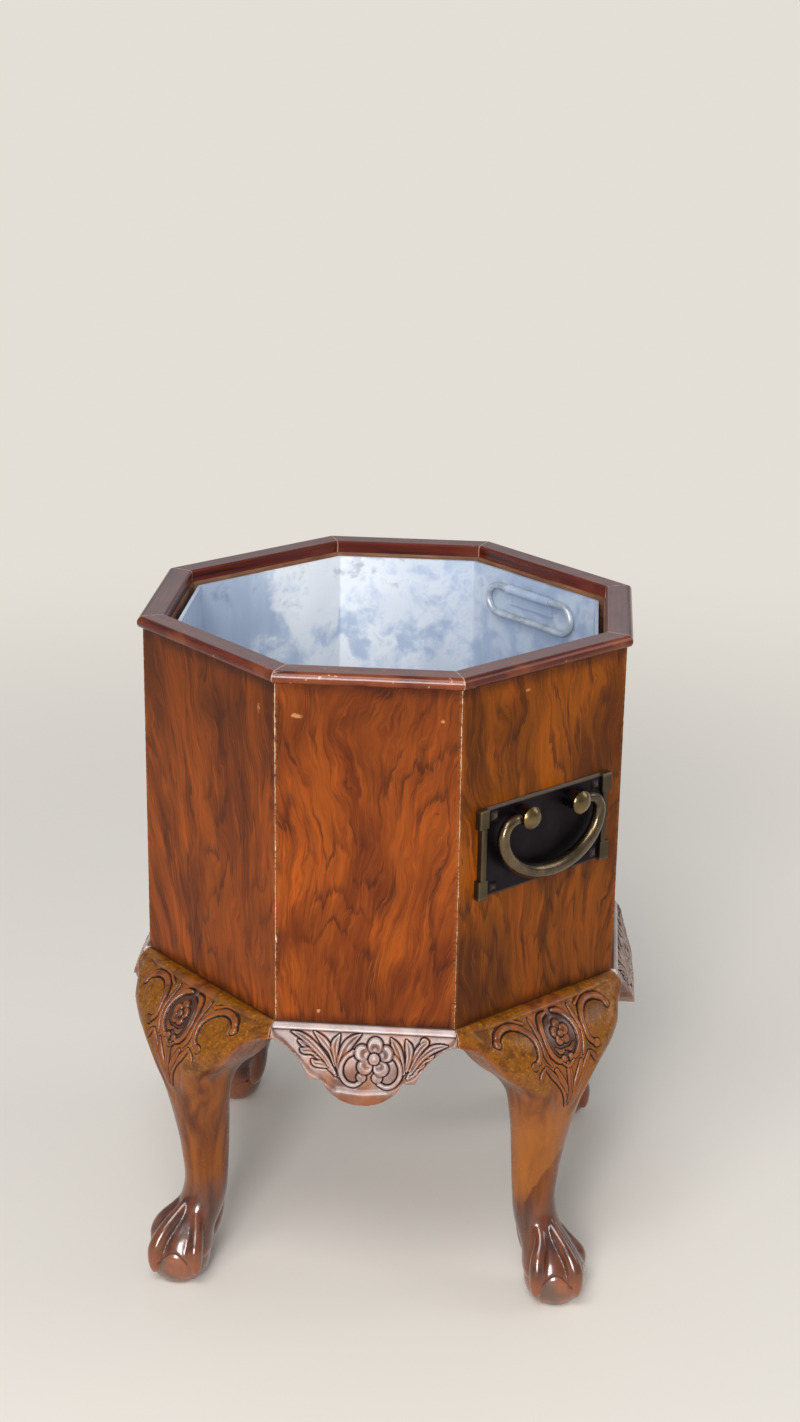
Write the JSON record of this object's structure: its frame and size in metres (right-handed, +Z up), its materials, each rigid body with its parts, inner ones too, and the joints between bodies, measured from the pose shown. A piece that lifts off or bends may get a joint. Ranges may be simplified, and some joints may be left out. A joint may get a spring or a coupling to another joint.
{
  "type": "cellarette",
  "caption": "Octagonal wooden cellarette on carved cabriole legs with ball-and-claw feet, with brass carrying handles and a lift-out metal liner for bottles and ice.",
  "frame": {"origin": "on the floor, under the middle of the case", "axes": "+Z up; a plain carved face without a handle looks along -Y, and the front right corner face carries a handle"},
  "size_m": [0.302, 0.302, 0.3835],
  "materials": {
    "mahogany_veneer": "mottled figured veneer under an old French polish, worn pale at the corners",
    "mahogany_moulding": "dark red-brown polish",
    "carved_mahogany": "carved, polished on the high parts and dark in the hollows",
    "carcass_wood": "bare sawn wood",
    "dark_bronze": "near-black patina, rubbed at the edges",
    "antique_brass": "brown patina, polished on the high parts",
    "zinc_sheet": "dull blue-grey zinc sheet with a pale bloom",
    "ring_wire": "dull grey wire",
    "screw_steel": "dull steel"
  },
  "bodies": {
    "carcass": {"wall_front": "carcass_wood", "veneer_front": "mahogany_veneer", "rim_front": "mahogany_moulding", "wall_right": "carcass_wood", "veneer_right": "mahogany_veneer", "rim_right": "mahogany_moulding", "wall_back": "carcass_wood", "veneer_back": "mahogany_veneer", "rim_back": "mahogany_moulding", "wall_left": "carcass_wood", "veneer_left": "mahogany_veneer", "rim_left": "mahogany_moulding", "wall_front_right": "carcass_wood", "veneer_front_right": "mahogany_veneer", "rim_front_right": "mahogany_moulding", "wall_back_right": "carcass_wood", "veneer_back_right": "mahogany_veneer", "rim_back_right": "mahogany_moulding", "wall_back_left": "carcass_wood", "veneer_back_left": "mahogany_veneer", "rim_back_left": "mahogany_moulding", "wall_front_left": "carcass_wood", "veneer_front_left": "mahogany_veneer", "rim_front_left": "mahogany_moulding", "bottom_board": "carcass_wood", "wall_glue_blocks": "carcass_wood", "apron_glue_blocks": "carcass_wood", "liner_bearers": "carcass_wood", "leg_front_right": "carved_mahogany", "knee_ears_front_right": "carved_mahogany", "leg_back_right": "carved_mahogany", "knee_ears_back_right": "carved_mahogany", "leg_back_left": "carved_mahogany", "knee_ears_back_left": "carved_mahogany", "leg_front_left": "carved_mahogany", "knee_ears_front_left": "carved_mahogany", "apron_front": "carved_mahogany", "apron_right": "carved_mahogany", "apron_back": "carved_mahogany", "apron_left": "carved_mahogany", "leg_screws": "screw_steel", "handle_plate_front_right": "dark_bronze", "handle_posts_front_right": "antique_brass", "handle_plate_back_left": "dark_bronze", "handle_posts_back_left": "antique_brass", "handle_nuts": "antique_brass", "handle_studs": "dark_bronze"},
    "liner": {"liner_walls": "zinc_sheet", "liner_base": "zinc_sheet", "liner_strap_front_left": "zinc_sheet", "liner_strap_back_right": "zinc_sheet", "liner_rivets": "ring_wire"},
    "ring_front_left": {"liner_ring_front_left": "ring_wire"},
    "ring_back_right": {"liner_ring_back_right": "ring_wire"},
    "bail_front_right": {"handle_bail_front_right": "antique_brass"},
    "bail_back_left": {"handle_bail_back_left": "antique_brass"}
  },
  "joints": [
    {"name": "liner_lift", "type": "slide", "parent": "carcass", "child": "liner", "axis": [0, 0, 1], "range_m": [0, 0.2]},
    {"name": "bail_swing_front_right", "type": "hinge", "parent": "carcass", "child": "bail_front_right", "pos_m": [0.09792, -0.09792, 0.2985], "axis": [-0.7071, -0.7071, 0], "range_deg": [0, 175]},
    {"name": "bail_swing_back_left", "type": "hinge", "parent": "carcass", "child": "bail_back_left", "pos_m": [-0.09792, 0.09792, 0.2985], "axis": [0.7071, 0.7071, 0], "range_deg": [0, 175]},
    {"name": "ring_swing_front_left", "type": "hinge", "parent": "liner", "child": "ring_front_left", "pos_m": [-0.07738, -0.07738, 0.3661], "axis": [0.7071, -0.7071, 0], "range_deg": [0, 175]},
    {"name": "ring_swing_back_right", "type": "hinge", "parent": "liner", "child": "ring_back_right", "pos_m": [0.07738, 0.07738, 0.3661], "axis": [-0.7071, 0.7071, 0], "range_deg": [0, 175]}
  ]
}
